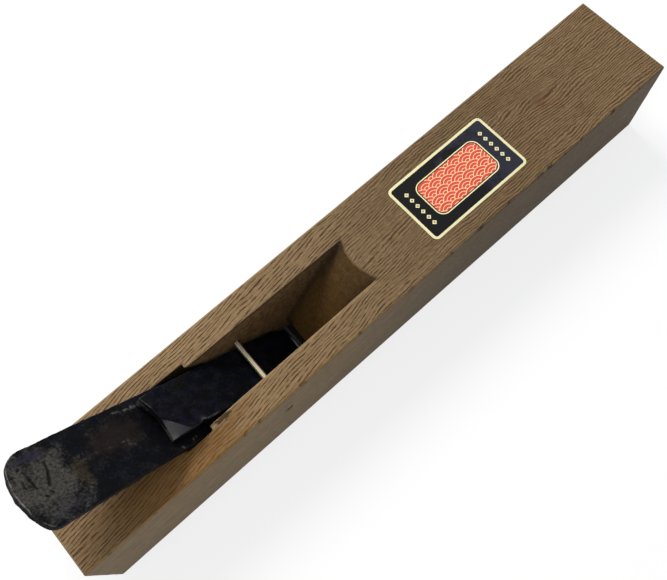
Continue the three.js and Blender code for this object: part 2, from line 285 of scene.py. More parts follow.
class Oak(Finish):
    """The block's wood: clean grain first, then its cut faces, wear, stains and marks, with painted shade
    and a painted falloff of light.
    """

    def __init__(self):
        super().__init__("oak")
        self.at = self.place()
        x, y, z = self.at
        facing = self.facing()
        self.end = self.rise(abs(facing[0]), 0.3, 0.75)
        self.side = self.rise(abs(facing[1]), 0.4, 0.8)
        self.cut = self.attribute("chiselled")
        self.rubbed = self.attribute("rubbed")
        self.slope = self.cut * self.end
        self.across = self.grain_across()
        self.patches = self.clouds(x / 26, self.across / 5, z / 9, 3.0, 0.55)
        self.ripple = self.clouds(x / 1.8, self.across / 5, z / 6, 1.0, 0.5)
        self.mottle = self.clouds(x / 1.6, y / 0.9, z / 1.6, 3.0, 0.6)
        self.pores = self.rise(self.clouds(x / 9, y / 0.22 + 7, z / 0.28, 2.0, 0.6), 0.5, 0.8)
        self.rings = self.year_rings()
        self.flecks, self.fine = self.fleck_lines()

    def from_knot(self, reach):
        """How far a point is from the knot, along and across, as shares of a reach."""
        return [(self.at[i] - KNOT_MM[i]) / reach[i] for i in (0, 1)]

    def grain_across(self):
        """The place across the grain, in millimetres, bent as the tree grew."""
        x, y, _ = self.at
        span = SLANT_TO_MM - SLANT_FROM_MM
        share = ((x - SLANT_FROM_MM) / span).most(0).least(1)
        drift = (x - share * share * (span / 2) - (x - SLANT_TO_MM).most(0)) * SLANT
        wander = self.clouds(x / 38, y / 16, 0.0, 1.0) * 5
        knot_x, knot_y = self.from_knot(KNOT_BEND_MM)
        return y - drift + wander - knot_x.fall() * knot_y.fall() * knot_y * 3.2

    def year_rings(self):
        """The tree's rings as a wave from 0 to 1, flattened and uneven round the pith."""
        x, y, z = self.at
        up = z + PITH_DEPTH_MM
        away = (y * y * 0.6 + up * up).root()
        away = away + self.clouds(x / 50, y / 14, z / 14, 1.0) * 3
        away = away + self.clouds(x / 90, y / 40, z / 3.5, 1.0) * 2.6
        return (away * (2 * math.pi / RING_PITCH_MM)).sine() * 0.5 + 0.5

    def ray_lines(self, x, sheets, pitch, length, unbroken, foot=-0.7):
        """The edges of thin upright rays as dark lines along the grain, heavier in dashes.

        They are a wave's crests, from foot up, on a wave from -1 to 1.
        """
        z = self.at[2]
        phase = sheets / pitch + self.clouds(x / 18, sheets / 6, z / 20, 1.0) * 2.2
        line = self.rise((phase * (2 * math.pi)).sine(), foot, 0.9)
        dashes = self.rise(self.clouds(x / length, sheets / (pitch * 0.6), z / 13, 1.0, 0.4), 0.36, 0.6)
        return line * (unbroken + (1 - unbroken) * dashes)

    def fleck_lines(self):
        """Ray flecks, dashes by the blade that turn into ripples further on, and finer lines."""
        x = self.at[0]
        rippled = self.rise(x, -10, 50)
        sheets = self.across + (self.ripple - 0.5) * (0.45 + rippled * 0.45)
        dashes = self.ray_lines(x, sheets, DASH_PITCH_MM, 3.2, 0.2, foot=-0.1) * (1 - rippled) * 1.12
        ripples = self.ray_lines(x, sheets, RIPPLE_PITCH_MM, 5.0, 0.5) * rippled
        fine = self.ray_lines(x + 60, sheets, FINE_PITCH_MM, 3.0, 0.1)
        return (dashes + ripples) * (1 - self.slope), fine * (1 - self.slope)

    def planed_faces(self):
        """The top and sides, and the sides greyed: partly by hands, partly a painted cool shade."""
        x, y, z = self.at
        side = self.side
        colour = self.mix(self.patches, (139, 113, 80), (168, 140, 104))
        colour = self.mix(self.rings * 0.16 + side * 0.1, colour, (108, 84, 56))
        colour = self.mix(self.fine * (0.5 - side * 0.4), colour, (94, 68, 38))
        colour = self.mix(self.flecks * (0.86 - side * 0.72), colour, (68, 45, 22))
        colour = self.mix(self.pores * (0.12 + side * 0.2), colour, (88, 68, 48))
        streaks = self.rise(self.clouds(x / 16, y / 1.1 + 3, z / 0.7, 3.0, 0.65), 0.34, 0.66)
        # The sides' grey: partly worn by hands, partly painted cool shade
        greyed_and_shaded = side * (1 - self.cut)
        return self.mottled(greyed_and_shaded * 0.6, colour, streaks, (88, 77, 57), (136, 120, 96))

    def sawn_ends(self):
        """Soft rings, crossed by rays as fine lines that fan out from the pith."""
        _, y, z = self.at
        fan = y / (z + PITH_DEPTH_MM) * 95
        rays = self.rise(self.clouds(fan / 0.55, z / 26, 5.0, 2.0, 0.6), 0.52, 0.66)
        rays = rays * self.rise(self.clouds(y / 1.1, z / 7, 9.0, 2.0), 0.3, 0.5)
        pores = self.rise(self.clouds(y / 0.22, z / 0.22, 2.0, 2.0, 0.6), 0.54, 0.7)
        colour = self.mix(self.patches, (112, 82, 46), (136, 104, 64))
        colour = self.mix(self.rings * 0.3, colour, (92, 66, 38))
        colour = self.mix(pores * 0.4, colour, (66, 46, 28))
        return self.mix(rays * 0.6, colour, (72, 49, 28))

    def cut_faces(self, colour):
        """The colour on the throat's slope and walls and on both ends."""
        colour = self.mottled(self.slope * 0.9, colour, self.patches, (82, 55, 16), (98, 69, 26))
        colour = self.mix(self.end * (1 - self.cut), colour, self.sawn_ends())
        specks = self.rise(self.mottle, 0.4, 0.62) * self.cut
        colour = self.mix(specks * 0.5, colour, (66, 46, 20))
        return self.mix(self.rise(self.at[2], 26, 44) * self.slope * 0.6, colour, (70, 48, 18))

    def worn(self, colour):
        """Light rubbed arrises, a yellowed near arris by the blade, and darkening that is partly dirt and
        partly painted shade.
        """
        x, y, z = self.at
        colour = self.mix(self.rubbed * 0.6, colour, (168, 140, 100))
        off_side = (y - body_low.y / MM).most(0)
        off_top = (top_z / MM - z).most(0)
        yellowed = self.rise(off_side + off_top, 2.0, 0.9) * self.rise(x + self.patches * 60, 40, 0)
        colour = self.mix(yellowed * self.ripple * 0.8, colour, (128, 98, 54))
        # Darker where the points hold dirt and painted shade
        return self.mix(self.attribute("dirt_and_shade") * 0.85, colour, (44, 34, 27))

    def marked(self, colour):
        """An oil stain on the near cheek, the knot, torn and chipped wood, and the side grooves darkened
        by grime and painted shade.
        """
        x, y, z = self.at
        oiled = self.rise(x + self.patches * 30, -50, -78) * self.rise(x + self.patches * 20, -140, -108)
        oiled = oiled * self.rise(y, -7, -12) * self.rise(z, 30, 42)
        colour = self.mix(oiled * (0.6 - self.side * 0.5), colour, (112, 74, 22))
        knot_x, knot_y = self.from_knot(KNOT_SIZE_MM)
        colour = self.mix(knot_x.fall() * knot_y.fall() * 0.55, colour, (98, 60, 44))
        top = self.rise(z, 43.5, 44.5)
        torn = self.within(x, y, TORN_MM, (3.4, 0.9), (self.mottle - 0.35) * 4) * top
        colour = self.mix(torn * 0.85, colour, (40, 27, 14))
        chip = self.within(x, y, CHIP_MM, (1.9, 0.7), (self.mottle - 0.5) * 3) * top
        colour = self.mix(chip * 0.7, colour, (142, 131, 108))
        # The side grooves darker: partly grime, partly painted shade
        grooves = self.rise(abs(y), 11.7, 12.2) * self.cut
        return self.mix(grooves * 0.8, colour, (22, 16, 10))

    def level(self):
        """How light the wood is, as a painted falloff of light: darker from the blade's end to the middle,
        with a fine noise.
        """
        x, y, z = self.at
        side = self.side
        level = 0.86 + side * 0.1 - self.rise(x, -90, 20) * 0.22
        level = level - self.rise(x, -40, 60) * 0.3 * side - self.rise(x, 0, 60) * 0.04 * (1 - side)
        level = level + self.rise(x, 70, 150) * 0.11 * (1 - side)
        noise = self.clouds(x / 1.8, y / 0.7, z / 0.7, 3.0, 0.7) - 0.5
        return level + noise * 0.7 * (1 - self.cut)

    def finished(self):
        x, _, z = self.at
        colour = self.marked(self.worn(self.cut_faces(self.planed_faces())))
        height_mm = self.clouds(x / 9, self.across / 0.8, z / 5, 3.0, 0.6) * 0.03
        height_mm = height_mm - self.flecks * 0.03 - self.pores * 0.03
        roughness = 0.62 + self.patches * 0.12 - self.rubbed * 0.12
        # Painted falloff of light across the block, with the wood's fine noise
        colour = self.tone(colour, self.level())
        return self.surface(colour, roughness, self.bump(height_mm, 0.8), specular=0.12)


# Iron and steel

# Patches near the blade's head: middle and reach, up the blade and aside, and how ragged
PATCHES_MM = {
    "brown": ((98, 3), (13, 7), 1.0),
    "bared": ((127.5, 0), (12, 14), 1.0),
    "rusty": ((116, -2), (3.2, 5.5), 1.0),
    "far violet": ((127.5, 10.6), (6, 2.0), 0.6),
    "near violet": ((126, -10), (7, 3.4), 1.0),
}


def black_scale(f, s, off, h):
    """The mottled blue-black skin that the forge leaves, with its coarse and fine noise."""
    large = f.clouds(s / 6, off / 5, h / 5, 4.0, 0.65)
    small = f.clouds(s / 0.9, off / 0.9, h / 0.9, 4.0, 0.6)
    tint = f.clouds(s / 5 + 20, off / 4, h / 4, 4.0, 0.65)
    colour = f.mix(f.rise(tint, 0.42, 0.6), (3, 6, 14), (10, 9, 10))
    colour = f.mottled(f.rise(large, 0.48, 0.62) * 0.5, colour, tint, (18, 23, 35), (28, 25, 25))
    specks = f.rise(small, 0.52, 0.72) * f.rise(large, 0.38, 0.6)
    colour = f.mix(specks * 0.6, colour, (50, 52, 58))
    return f.tone(colour, 0.82), large, small


def forged_iron():
    """The blade's back: scale, a head where hammering and damp have bared and stained it, and painted
    shade on the face up to just past the chip breaker's head.
    """
    f = Finish("forged iron")
    s, off, h = f.blade_place()
    pits, scores, arris = [f.attribute(name) for name in ("pitted", "scored", "rubbed")]
    colour, large, small = black_scale(f, s, off, h)
    uneven = (large - 0.5) * 4 + (small - 0.5) * 1.4
    face = f.rise(h, -1.2, -0.6)
    patch = {}
    for name, (middle, reach, ragged) in PATCHES_MM.items():
        patch[name] = f.within(s, off, middle, reach, uneven * ragged) * face
    bared = patch["bared"]
    colour = f.mottled(patch["brown"] * 0.4, colour, small, (26, 19, 16), (52, 42, 36))
    colour = f.mottled(bared * 0.78, colour, f.rise(small, 0.3, 0.7), (50, 49, 46), (80, 79, 74))
    colour = f.mottled(patch["rusty"] * 0.5, colour, small, (40, 34, 24), (74, 66, 50))
    colour = f.mottled(patch["far violet"] * 0.8, colour, small, (20, 18, 30), (42, 39, 54))
    colour = f.mottled(patch["near violet"] * 0.5, colour, small, (20, 19, 24), (62, 58, 66))
    spots = f.clouds(s / 1.5, off / 1.1, h / 1.5, 3.0, 0.5)
    spots = f.rise(spots, 0.58, 0.64) * f.rise(off, 8, -6)
    colour = f.mix(spots * bared * 0.75, colour, (22, 22, 22))
    # Painted shade on the face under and just past the chip breaker's head
    painted_shade = f.rise(s + large * 5, 94, 90) * f.rise(off, 10.5, 8.5) * face
    colour = f.mix(painted_shade * 0.6, colour, (3, 3, 5))
    colour = f.mix(pits * 0.7, colour, (20, 19, 18))
    colour = f.mix(scores * 0.9, colour, (12, 11, 12))
    colour = f.mottled(arris * 0.85, colour, large, (70, 70, 70), (128, 126, 120))
    bump = f.bump(small * 0.08 + large * 0.06, 0.7)
    metallic = bared * 0.15 + arris * 0.3
    return f.surface(colour, 0.5 + small * 0.2 - arris * 0.15, bump, specular=0.05, metallic=metallic)


def blade_steel():
    """Scale, ground bright at the cutting edge and all over the bevel."""
    f = Finish("blade steel")
    s, off, h = f.blade_place()
    facing = f.facing()
    colour, large, small = black_scale(f, s, off, h)
    strokes = f.clouds(s / 0.25, off / 14, h / 3, 2.0, 0.6)
    ground = f.rise(s + large * 6, 11, 7)
    bevel = f.rise(-(facing[0] * SIN + facing[2] * COS), 0.3, 0.6)
    bright = (ground * 0.5).most(bevel)
    colour = f.mottled(bright, colour, strokes, (120, 122, 126), (168, 169, 170))
    bump = f.bump(small * 0.04 + strokes * 0.01, 0.6)
    return f.surface(colour, 0.5 + small * 0.15 - bright * 0.2, bump, specular=0.05, metallic=bright)


def breaker_iron():
    """Scale with a violet cast, an end face painted dark as shade, and the folded near corner grey: partly
    beaten, partly a painted highlight where it faces the light.
    """
    f = Finish("breaker iron")
    s, off, h = f.blade_place()
    arris, folded = [f.attribute(name) for name in ("rubbed", "folded")]
    colour, large, small = black_scale(f, s + 40, off, h)
    violet = f.clouds(s / 4 + 40, off / 4, h / 4, 3.0, 0.6)
    colour = f.mix(f.rise(violet, 0.5, 0.68) * 0.6, colour, (24, 20, 36))
    colour = f.tone(colour, 0.85)
    facing = f.facing()
    # The end face painted dark, as shade
    end_in_shade = f.rise(facing[2] * SIN - facing[0] * COS, 0.6, 0.85)
    colour = f.mix(end_in_shade * 0.8, colour, (8, 9, 9))
    # The folded corner's grey, lighter toward its tip: partly beaten, partly a painted highlight
    toward_tip = f.rise(s, 77, 84)
    facet = f.mix(small, (32, 32, 35), (60, 60, 63))
    colour = f.mix(folded * 0.85, colour, f.mix(toward_tip * 0.45, facet, (96, 95, 93)))
    # The rubbed arrises, which also bring the painted highlight along the near rim
    colour = f.mottled(arris * 0.7, colour, large, (50, 50, 52), (120, 119, 112))
    bump = f.bump(small * 0.05 + large * 0.06, 0.6)
    metallic = folded * 0.15 + arris * 0.3
    return f.surface(colour, 0.46 + small * 0.2, bump, specular=0.04, metallic=metallic)


def breaker_steel():
    """Scale, with a bright ground line along the sharpened edge, painted as a glint that fades toward the
    far side.
    """
    f = Finish("breaker steel")
    s, off, h = f.blade_place()
    colour, _, small = black_scale(f, s, off, h)
    strokes = f.clouds(s / 8, off / 0.3, h / 3, 2.0, 0.6)
    # The edge's bright line, painted as a glint: wider on the near side, fading toward the far side
    bright = f.rise(s + off * 0.08, 5.4, 4.8) * f.rise(off, 7, 2)
    colour = f.mottled(bright, colour, strokes, (196, 200, 208), (232, 234, 238))
    return f.surface(colour, 0.34 + small * 0.15, f.bump(strokes * 0.01, 0.5), specular=0.1)


def pin_steel():
    """Drawn steel: two painted highlights along the rod with a duller painted reflection between, and dark
    ends.
    """
    f = Finish("pin steel")
    x, y, z = f.place()
    drawn = f.clouds(x / 0.25, y / 22, z / 0.25, 2.0, 0.6)
    spots = f.clouds(x / 0.6, y / 1.1, z / 0.6, 3.0, 0.6)
    # Two painted highlights along the rod where it faces the lamps, and a duller painted reflection
    # between them
    turned = f.facing()[0]
    bright = ((turned + 0.42) / 0.2).fall() + ((turned - 0.38) / 0.2).fall()
    colour = f.mix(drawn, (122, 111, 88), (180, 168, 140))
    colour = f.mix(bright * 0.7, colour, (226, 216, 188))
    colour = f.mix((turned / 0.22).fall() * 0.35, colour, (120, 106, 82))
    colour = f.mix(f.rise(spots, 0.56, 0.72) * 0.4, colour, (110, 88, 58))
    colour = f.mix(f.rise(abs(y), 22, 22.3), colour, (58, 48, 38))
    return f.surface(colour, 0.36 + spots * 0.14, f.bump(drawn * 0.02, 0.6), metallic=0.65)


# The label's print: waves in a cream line between two rows of lozenges, inside a cream border

LABEL_X_MM = (label_low.x + label_high.x) / 2 / MM
LABEL_Y_MM = (label_low.y + label_high.y) / 2 / MM
LABEL_HALF_MM = ((label_high.x - label_low.x) / 2 / MM, (label_high.y - label_low.y) / 2 / MM)
LABEL_CORNER_MM = 2.4
BORDER_MM = 1.15
PANEL_HALF_MM = (16.2, 8.0)
PANEL_CORNER_MM = 3.0
# The cream line lies between these distances outside the panel
LINE_MM = (0.45, 0.9)
WAVE_MM = 4.2
WAVE_RINGS = 3
WAVE_RED_SHARE = 0.83
LOZENGE_MM = 3.2


def inside_depth(x, y, half, corner):
    """How far a point lies inside a rectangle with round corners."""
    over_x = abs(x) - (half[0] - corner)
    over_y = abs(y) - (half[1] - corner)
    out_x = over_x.most(0)
    out_y = over_y.most(0)
    beyond = (out_x * out_x + out_y * out_y).root()
    return corner - beyond - over_x.most(over_y).least(0)


def waves(x, y):
    """Rows of fans, the lower rows over the upper. Gives 1 on a fan's rings."""
    row = (y / (WAVE_MM / 2)).floor()
    line = 0
    covered = 0
    for step in (-1, 0, 1):
        centre = row + step
        shift = (centre * 0.5).part()
        off_x = ((x / (2 * WAVE_MM) + shift).part() - 0.5) * (2 * WAVE_MM)
        off_y = y - centre * (WAVE_MM / 2)
        away = (off_x * off_x + off_y * off_y).root() / WAVE_MM
        here = away.below(1) * (1 - covered)
        line = line + here * (away * WAVE_RINGS).part().above(WAVE_RED_SHARE)
        covered = covered + here
    return line


def lozenges(x, y):
    """A field of small lozenges, each a ring round a dot."""
    cell_x = (x / LOZENGE_MM).part() - 0.5
    cell_y = (y / LOZENGE_MM).part() - 0.5
    reach = abs(cell_x) + abs(cell_y)
    return reach.below(0.34) * reach.above(0.16) + reach.below(0.07)


def lozenge_rows(x, y):
    """One row of six across each end."""
    row = abs(x).above(6 * LOZENGE_MM) * abs(x).below(7 * LOZENGE_MM)
    return row * abs(y).below(3 * LOZENGE_MM) * lozenges(x, y)


def label_paper():
    f = Finish("label paper")
    x, y, _ = f.place()
    x = x - LABEL_X_MM
    y = y - LABEL_Y_MM
    fibre = f.clouds(x / 0.5, y / 0.5, 0.0, 4.0, 0.7)
    age = f.clouds(x / 7, y / 6, 3.0, 3.0, 0.6)
    depth = inside_depth(x, y, LABEL_HALF_MM, LABEL_CORNER_MM)
    panel = inside_depth(x, y, PANEL_HALF_MM, PANEL_CORNER_MM)
    border = (depth + (fibre - 0.5) * 0.25).below(BORDER_MM)
    cream = (236, 228, 176)
    ground = f.mix(f.rise(age + x * 0.012, 0.45, 0.75) * 0.6, (9, 9, 12), (50, 50, 64))
    print_colour = f.mix(panel.above(0), ground, f.mix(waves(x, y), (210, 74, 62), cream))
    outline = panel.above(-LINE_MM[1]) * panel.below(-LINE_MM[0])
    colour = f.mix(outline.most(lozenge_rows(x, y)), print_colour, cream)
    rub = f.rise(fibre, 0.62, 0.8) * 0.5
    colour = f.mix(rub * (1 - border), colour, (120, 104, 84))
    colour = f.mottled(border, colour, age, (238, 232, 186), (206, 200, 156))
    return f.surface(colour, 0.5 + fibre * 0.2, f.bump(fibre * 0.02, 0.5), specular=0.1)


# Shape tools

def lattice(i, j, k, seed):
    """Random numbers from -1 to 1 at whole-number places."""
    n = i * 374761393 + j * 668265263 + k * 1440662683 + seed * 974634777
    n = (n ^ (n >> 13)) & 0xFFFFFFFF
    n = (n * 1274126177) & 0xFFFFFFFF
    n = n ^ (n >> 16)
    return (n & 0xFFFF) / 32767.5 - 1


def lumps(points, size, seed):
    """Smooth noise from -1 to 1 at each point. Size is a lump's width in millimetres, one or three."""
    scaled = points / (np.array(size) * MM)
    base = np.floor(scaled)
    share = scaled - base
    share = share * share * (3 - 2 * share)
    cell = base.astype(np.int64)
    total = np.zeros(len(points))
    for corner in range(8):
        step = np.array([corner & 1, corner >> 1 & 1, corner >> 2 & 1])
        weight = np.prod(np.where(step, share, 1 - share), axis=1)
        at = cell + step
        total += weight * lattice(at[:, 0], at[:, 1], at[:, 2], seed)
    return total


def rise(value, low, high):
    """0 at low, 1 at high and smooth between. Low may be the greater."""
    share = np.clip((value - low) / (high - low), 0, 1)
    return share * share * (3 - 2 * share)


def through_modifiers(mesh, *modifiers):
    """The mesh after modifiers, each given as a type and its settings."""
    holder = in_scene("holder", mesh)
    for kind, settings in modifiers:
        modifier = holder.modifiers.new(kind.lower(), kind)
        for key, value in settings.items():
            setattr(modifier, key, value)
    bpy.context.view_layer.update()
    ready = holder.evaluated_get(bpy.context.evaluated_depsgraph_get())
    made = bpy.data.meshes.new_from_object(ready)
    bpy.data.objects.remove(holder)
    return made


def even_skin(node, voxel, smoothing):
    """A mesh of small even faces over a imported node, a little softened."""
    mesh = frame["nodes"][node].data.copy()
    mesh.materials.clear()
    welded = bmesh.new()
    welded.from_mesh(mesh)
    bmesh.ops.remove_doubles(welded, verts=welded.verts, dist=0.002 * MM)
    welded.to_mesh(mesh)
    welded.free()
    remesh = ("REMESH", {"mode": "VOXEL", "voxel_size": voxel, "use_smooth_shade": True})
    smooth = ("SMOOTH", {"factor": 0.5, "iterations": smoothing})
    return through_modifiers(mesh, remesh, smooth)


def thinned(mesh, share):
    """The mesh with that share of its faces, most of them where it bends."""
    return through_modifiers(mesh, ("DECIMATE", {"ratio": share}))


def read_vectors(items, field):
    flat = np.empty(len(items) * 3)
    items.foreach_get(field, flat)
    return flat.reshape(-1, 3)


def get_points(mesh):
    return read_vectors(mesh.vertices, "co")


def get_normals(mesh):
    return read_vectors(mesh.vertex_normals, "vector")


def set_points(mesh, points):
    mesh.vertices.foreach_set("co", points.ravel())
    mesh.update()


def push(points, normals, where, distance_mm):
    """Moves the points where it applies along their normals."""
    points += normals * (np.where(where, distance_mm, 0) * MM)[:, None]


def store(mesh, name, values):
    """Keeps a number per point for the material to read."""
    layer = mesh.attributes.new(name, "FLOAT", "POINT")
    layer.data.foreach_set("value", np.clip(values, 0, 1).astype(np.float32))


def spread(mesh, values, steps, kept):
    """Values that run out over neighbouring points, weaker at each step."""
    ends = np.empty(len(mesh.edges) * 2, dtype=np.int32)
    mesh.edges.foreach_get("vertices", ends)
    first, second = ends.reshape(-1, 2).T
    for _ in range(steps):
        grown = values.copy()
        np.maximum.at(grown, first, values[second] * kept)
        np.maximum.at(grown, second, values[first] * kept)
        values = grown
    return values


def closed(built, name):
    """The finished mesh, with its faces turned outward."""
    bmesh.ops.recalc_face_normals(built, faces=built.faces)
    mesh = bpy.data.meshes.new(name)
    built.to_mesh(mesh)
    built.free()
    return mesh


def show(name, mesh, material, body, slot, *nodes):
    """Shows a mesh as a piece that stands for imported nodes."""
    mesh.materials.clear()
    mesh.materials.append(material)
    mesh.shade_smooth()
    obj = in_scene(name, mesh)
    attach(obj, body)
    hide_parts(*nodes)


def dress(node, material):
    """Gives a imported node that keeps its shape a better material."""
    obj = frame["nodes"][node]
    obj.data.materials.clear()
    obj.data.materials.append(material)


# Block

BODY_VOXEL = 0.42 * MM
BODY_KEPT = 0.4
# The throat's middle, and how far it reaches from there along and across the body
THROAT_X = -60 * MM
THROAT_REACH = 62 * MM
THROAT_HALF = 11.3 * MM

# The block's faces, each an axis and a side
BACK, FRONT = (0, -1), (0, 1)
NEAR, FAR = (1, -1), (1, 1)
SOLE, TOP = (2, -1), (2, 1)
ARRISES = [
    (NEAR, TOP), (FAR, TOP), (NEAR, SOLE), (FAR, SOLE),
    (BACK, TOP), (FRONT, TOP), (BACK, SOLE), (FRONT, SOLE),
    (BACK, NEAR), (BACK, FAR), (FRONT, NEAR), (FRONT, FAR),
]
ARRIS = 0.8 * MM
SOLE_ARRIS_SHARE = 0.6
# How much of the nicks each long top arris takes
NICKED_SHARE = {(NEAR, TOP): 1.0, (FAR, TOP): 0.3}
# Nicks: place along the body, half length, and how strong
NICKS_MM = [
    (-140.5, 1.2, 0.3), (-121.0, 1.0, 0.3), (-79.4, 1.2, 0.45),
    (-72.6, 0.9, 0.4), (-51.5, 1.8, 0.45), (-23.1, 0.8, 0.4),
    (3.2, 2.6, 0.35), (10.4, 1.3, 0.35), (25.4, 1.5, 0.6),
    (41.0, 2.0, 0.7), (57.5, 1.2, 0.4), (74.6, 2.2, 0.6),
    (81.1, 1.9, 0.6), (89.6, 0.8, 0.5), (99.9, 0.8, 0.55),
    (119.0, 2.6, 0.65), (135.6, 1.1, 0.4), (142.1, 1.0, 0.45),
]
# How much a nick of strength 1 widens the arris's rounding
NICK_MM = 1.6


def cut_by_hand(points, normals):
    """Chisel facets on the front slope, and slight waves in the bed and on the outside."""
    x, y, z = points.T
    inner = (np.abs(y) < 16.4 * MM) & (np.abs(x - THROAT_X) < THROAT_REACH)
    inside = inner & (np.abs(y) < THROAT_HALF) & (z < top_z - 0.3 * MM) & (z > 0.5 * MM)
    slope = inside & (normals[:, 0] < -0.25)
    facets = 0.09 * lumps(points, (5, 3.2, 7), 5) + 0.05 * lumps(points, 2.2, 6)
    push(points, normals, slope, facets)
    push(points, normals, inside & ~slope, 0.04 * lumps(points, 3, 7))
    waves_mm = 0.035 * lumps(points, 22, 8) + 0.012 * lumps(points, 6, 9)
    push(points, normals, ~inner, -np.abs(waves_mm))


def nick_strength(points):
    """How strong the nicks are along the body at each point, with ragged ends."""
    along = points[:, 0] / MM + 0.7 * lumps(points, 0.9, 15) + 0.3 * lumps(points, 0.45, 16)
    nicked = np.zeros(len(points))
    for place, length, strength in NICKS_MM:
        nicked += strength * np.exp(-(((along - place) / length) ** 2))
    return nicked * (0.75 + 0.5 * lumps(points, 0.7, 17))


def round_arris(points, radius, first, second):
    """Rounds the arris between two of the block's faces."""
    low, high = np.array(body_low), np.array(body_high)
    depths = []
    for axis, side in (first, second):
        depths.append(high[axis] - points[:, axis] if side > 0 else points[:, axis] - low[axis])
    reaches = [np.clip(radius - depth, 0, None) for depth in depths]
    length = np.hypot(*reaches)
    outside = (reaches[0] > 0) & (reaches[1] > 0) & (length > radius)
    share = np.where(outside, radius / np.maximum(length, 1e-9), 1)
    for (axis, side), depth, reach in zip((first, second), depths, reaches):
        moved = radius - reach * share
        inward = np.where(share < 1, moved - depth, 0)
        points[:, axis] -= side * inward


def round_arrises(points, nicked):
    for number, (first, second) in enumerate(ARRISES):
        seed = 20 + 2 * number
        radius = ARRIS * (1 + 0.3 * lumps(points, 16, seed) + 0.22 * lumps(points, 4, seed + 1))
        radius = radius + nicked * NICKED_SHARE.get((first, second), 0) * NICK_MM * MM
        if second == SOLE:
            radius = radius * SOLE_ARRIS_SHARE
        round_arris(points, radius, first, second)


def rubbed_wood(points, normals):
    """1 where hands and shavings have rubbed: the top's arrises and the throat's near lip."""
    x, y, z = points.T
    tilt = normals[:, 2]
    arris = rise(tilt, 0.2, 0.4) * rise(tilt, 0.97, 0.9) * (z > top_z - 0.8 * MM)
    arris = arris * (0.75 + 0.5 * lumps(points, 4, 60))
    lip = rise(np.abs(y + THROAT_HALF), 0.9 * MM, 0.4 * MM) * (z > top_z - 0.7 * MM)
    return np.maximum(arris, 1.4 * lip * rise(np.abs(x + 46 * MM), 43 * MM, 40 * MM))


def chiselled_wood(points):
    """1 inside the throat and the side grooves, 0 outside."""
    x, y, z = points.T
    deep = (np.abs(y) < 17 * MM) & (np.abs(x - THROAT_X) < THROAT_REACH)
    return deep * rise(z, top_z - 0.2 * MM, top_z - 0.8 * MM) * (z > 0.5 * MM)


def dirt_and_shade_wood(mesh, points, normals, deep, nicked):
    """1 where dirt has settled and where shade is painted: dirt round the pin's end, darker nicks, stain
    and painted shadow beside the blade, and painted shade in the throat's creases and under the far
    cheek's lip.
    """
    x, y, z = points.T
    aside = np.abs(normals[:, 1])
    # Painted shade in the corners between the front slope and the cheeks
    crease = deep * rise(aside, 0.15, 0.35) * rise(-normals[:, 0], 0.15, 0.35)
    crease = spread(mesh, crease * rise(aside, 0.96, 0.85), 3, 0.8)
    # The nicks in the near top arris
    near_top = rise(y, body_low.y + 1.3 * MM, body_low.y + 0.7 * MM)
    near_top = near_top * rise(z, top_z - 1.6 * MM, top_z - 0.9 * MM)
    nicks = near_top * rise(nicked, 0.1, 0.4)
    # Along the blade, where it leaves the grooves: partly stain, partly the blade's painted shadow
    s, off, h = (to_blade(points) / MM).T
    beside = rise(np.abs(off), 17.5, 13.5) * rise(h, 4.5, 0.5) * rise(h, -9, -5) * rise(s, 88, 70)
    beside = beside * rise(lumps(points, (4, 2, 2), 61), -0.6, 0.6)
    # Round the pin's end on the near side
    pin_end = np.hypot(x - pin_low.x, z - (pin_low.z + pin_high.z) / 2)
    smudge = rise(pin_end, 3.4 * MM, 1.2 * MM) * rise(y, body_low.y + MM, body_low.y)
    # Painted shade just under the far cheek's lip
    below_top = top_z - z
    under_lip = deep * rise(below_top, 0.2 * MM, 0.5 * MM) * rise(below_top, 2.2 * MM, 0.8 * MM)
    under_lip = under_lip * rise(y, 9 * MM, 10.4 * MM)
    return np.maximum.reduce([nicks * 0.8, beside * 0.7, smudge * 0.5, crease * 0.85, under_lip * 0.8])


def shape_block():
    mesh = even_skin("oak_body", BODY_VOXEL, 1)
    points = get_points(mesh)
    cut_by_hand(points, get_normals(mesh))
    nicked = nick_strength(points)
    round_arrises(points, nicked)
    set_points(mesh, points)
    normals = get_normals(mesh)
    deep = chiselled_wood(points)
    store(mesh, "rubbed", rubbed_wood(points, normals))
    store(mesh, "chiselled", deep)
    store(mesh, "dirt_and_shade", dirt_and_shade_wood(mesh, points, normals, deep, nicked))
    return thinned(mesh, BODY_KEPT)


show("oak_block", shape_block(), Oak().finished(), "plane_body", "oak", "oak_body")


# Blade and chip breaker

BLADE_VOXEL = 0.32 * MM
BLADE_KEPT = 0.6
BREAKER_VOXEL = 0.28 * MM
BREAKER_KEPT = 0.7
# About where the steel face ends and the iron back steps up
WELD_END_MM = 66.3
# A nick in the breaker's near edge, and the tip of its near folded corner
BREAKER_NICK_MM = (70.8, -10.2)
BREAKER_TIP_MM = (83.4, -9.4)

